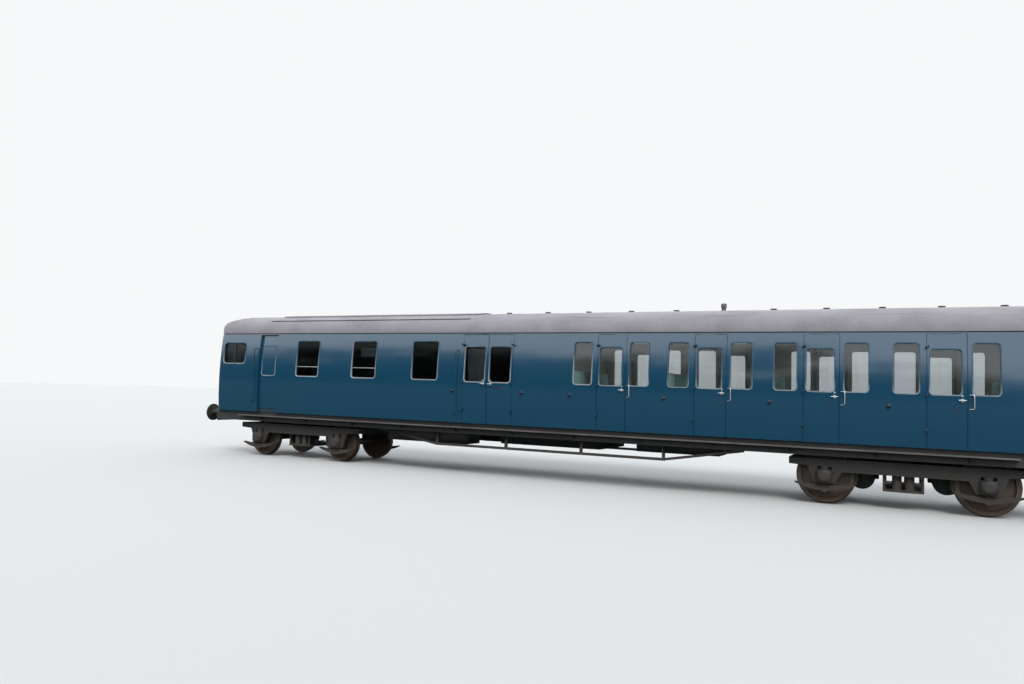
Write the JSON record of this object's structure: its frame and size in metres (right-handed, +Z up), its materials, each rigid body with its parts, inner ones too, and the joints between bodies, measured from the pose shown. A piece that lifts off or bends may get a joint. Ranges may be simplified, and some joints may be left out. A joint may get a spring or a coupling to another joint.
{
  "type": "slam-door passenger coach",
  "caption": "Slam-door motor passenger coach with driving cab, engine room, luggage van and open saloon; doors swing, bogies swivel and wheelsets roll.",
  "frame": {"origin": "Middle of the coach's length over buffer and coupling, on its centre line, at the height of the wheel flange tips", "axes": "+X along the coach from the cab end to the inner end, +Z up, so the left side of a driver looking out of the cab is at -Y"},
  "size_m": [20.42, 2.8716, 3.9809],
  "materials": {
    "black_rubber": "matt",
    "body_paint": "weathered gloss",
    "bright_metal": "worn",
    "floor_covering": "matt",
    "frame_paint": "matt, dusty",
    "front_paint": "weathered gloss",
    "inside_paint": "satin",
    "roof_paint": "matt, dusty",
    "seat_cloth": "woven moquette",
    "wheel_steel": "rusty, bright treads",
    "window_glass": "clear",
    "worn_wood": "worn"
  },
  "bodies": {
    "carbody": {"body_side_left": "body_paint", "body_side_right": "body_paint", "buffers": "frame_paint", "bulkheads": "inside_paint", "cab_front": "front_paint", "cab_furniture": "inside_paint", "cantrails": "body_paint", "couplings": "frame_paint", "door_hinges": "frame_paint", "door_stops": "black_rubber", "end_wall": "body_paint", "engine_set": "frame_paint", "fixed_glass": "window_glass", "floor": "floor_covering", "handrails": "bright_metal", "roof": "roof_paint", "roof_vents": "roof_paint", "seat_backs": "seat_cloth", "seat_bases": "inside_paint", "seat_cushions": "seat_cloth", "step_boards": "worn_wood", "underfloor_equipment": "frame_paint", "underframe": "frame_paint"},
    "bogie_cab": {"axle_boxes_cab": "frame_paint", "bogie_bolster_cab": "frame_paint", "bogie_frame_cab": "frame_paint"},
    "bogie_inner": {"axle_boxes_inner": "frame_paint", "bogie_bolster_inner": "frame_paint", "bogie_frame_inner": "frame_paint", "traction_motors": "frame_paint"},
    "wheelset_1": {"wheelset_1": "wheel_steel"},
    "wheelset_2": {"wheelset_2": "wheel_steel"},
    "wheelset_3": {"wheelset_3": "wheel_steel"},
    "wheelset_4": {"wheelset_4": "wheel_steel"},
    "passenger_door_left_1": {"passenger_door_left_1": "body_paint", "passenger_door_glass_left_1": "window_glass"},
    "passenger_door_left_2": {"passenger_door_left_2": "body_paint", "passenger_door_glass_left_2": "window_glass"},
    "passenger_door_left_3": {"passenger_door_left_3": "body_paint", "passenger_door_glass_left_3": "window_glass"},
    "passenger_door_left_4": {"passenger_door_left_4": "body_paint", "passenger_door_glass_left_4": "window_glass"},
    "van_door_left_front": {"van_door_left_front": "body_paint", "van_door_glass_left_front": "window_glass"},
    "van_door_left_rear": {"van_door_left_rear": "body_paint", "van_door_glass_left_rear": "window_glass"},
    "cab_door_left": {"cab_door_left": "body_paint"},
    "passenger_door_right_1": {"passenger_door_right_1": "body_paint", "passenger_door_glass_right_1": "window_glass"},
    "passenger_door_right_2": {"passenger_door_right_2": "body_paint", "passenger_door_glass_right_2": "window_glass"},
    "passenger_door_right_3": {"passenger_door_right_3": "body_paint", "passenger_door_glass_right_3": "window_glass"},
    "passenger_door_right_4": {"passenger_door_right_4": "body_paint", "passenger_door_glass_right_4": "window_glass"},
    "van_door_right_front": {"van_door_right_front": "body_paint", "van_door_glass_right_front": "window_glass"},
    "van_door_right_rear": {"van_door_right_rear": "body_paint", "van_door_glass_right_rear": "window_glass"},
    "cab_door_right": {"cab_door_right": "body_paint"}
  },
  "joints": [
    {"name": "bogie_cab_swivel", "type": "hinge", "parent": "carbody", "child": "bogie_cab", "pos_m": [-6.985, 0, 0.929], "axis": [0, 0, 1], "range_deg": [-4, 4]},
    {"name": "bogie_inner_swivel", "type": "hinge", "parent": "carbody", "child": "bogie_inner", "pos_m": [7.185, 0, 0.929], "axis": [0, 0, 1], "range_deg": [-4, 4]},
    {"name": "wheelset_1_roll", "type": "hinge", "parent": "bogie_cab", "child": "wheelset_1", "pos_m": [-8.28, 0, 0.486], "axis": [0, 1, 0], "continuous": true},
    {"name": "wheelset_2_roll", "type": "hinge", "parent": "bogie_cab", "child": "wheelset_2", "pos_m": [-5.69, 0, 0.486], "axis": [0, 1, 0], "continuous": true},
    {"name": "wheelset_3_roll", "type": "hinge", "parent": "bogie_inner", "child": "wheelset_3", "pos_m": [5.8515, 0, 0.537], "axis": [0, 1, 0], "continuous": true},
    {"name": "wheelset_4_roll", "type": "hinge", "parent": "bogie_inner", "child": "wheelset_4", "pos_m": [8.5185, 0, 0.537], "axis": [0, 1, 0], "continuous": true},
    {"name": "passenger_door_left_1_hinge", "type": "hinge", "parent": "carbody", "child": "passenger_door_left_1", "pos_m": [1.38, -1.399, 2.029], "axis": [0, 0, -1], "range_deg": [0, 175]},
    {"name": "passenger_door_left_2_hinge", "type": "hinge", "parent": "carbody", "child": "passenger_door_left_2", "pos_m": [3.439, -1.399, 2.029], "axis": [0, 0, -1], "range_deg": [0, 175]},
    {"name": "passenger_door_left_3_hinge", "type": "hinge", "parent": "carbody", "child": "passenger_door_left_3", "pos_m": [5.498, -1.399, 2.029], "axis": [0, 0, -1], "range_deg": [0, 175]},
    {"name": "passenger_door_left_4_hinge", "type": "hinge", "parent": "carbody", "child": "passenger_door_left_4", "pos_m": [7.557, -1.399, 2.029], "axis": [0, 0, -1], "range_deg": [0, 175]},
    {"name": "van_door_left_front_hinge", "type": "hinge", "parent": "carbody", "child": "van_door_left_front", "pos_m": [-1.891, -1.399, 2.029], "axis": [0, 0, -1], "range_deg": [0, 165]},
    {"name": "van_door_left_rear_hinge", "type": "hinge", "parent": "carbody", "child": "van_door_left_rear", "pos_m": [-0.629, -1.399, 2.029], "axis": [0, 0, 1], "range_deg": [0, 165]},
    {"name": "cab_door_left_hinge", "type": "hinge", "parent": "carbody", "child": "cab_door_left", "pos_m": [-7.5, -1.17955, 2.029], "axis": [0, 0, -1], "range_deg": [0, 88]},
    {"name": "passenger_door_right_1_hinge", "type": "hinge", "parent": "carbody", "child": "passenger_door_right_1", "pos_m": [1.96, 1.399, 2.029], "axis": [0, 0, -1], "range_deg": [0, 175]},
    {"name": "passenger_door_right_2_hinge", "type": "hinge", "parent": "carbody", "child": "passenger_door_right_2", "pos_m": [4.019, 1.399, 2.029], "axis": [0, 0, -1], "range_deg": [0, 175]},
    {"name": "passenger_door_right_3_hinge", "type": "hinge", "parent": "carbody", "child": "passenger_door_right_3", "pos_m": [6.078, 1.399, 2.029], "axis": [0, 0, -1], "range_deg": [0, 175]},
    {"name": "passenger_door_right_4_hinge", "type": "hinge", "parent": "carbody", "child": "passenger_door_right_4", "pos_m": [8.137, 1.399, 2.029], "axis": [0, 0, -1], "range_deg": [0, 175]},
    {"name": "van_door_right_front_hinge", "type": "hinge", "parent": "carbody", "child": "van_door_right_front", "pos_m": [-1.891, 1.399, 2.029], "axis": [0, 0, 1], "range_deg": [0, 165]},
    {"name": "van_door_right_rear_hinge", "type": "hinge", "parent": "carbody", "child": "van_door_right_rear", "pos_m": [-0.629, 1.399, 2.029], "axis": [0, 0, -1], "range_deg": [0, 165]},
    {"name": "cab_door_right_hinge", "type": "hinge", "parent": "carbody", "child": "cab_door_right", "pos_m": [-7.5, 1.17955, 2.029], "axis": [0, 0, 1], "range_deg": [0, 88]}
  ]
}
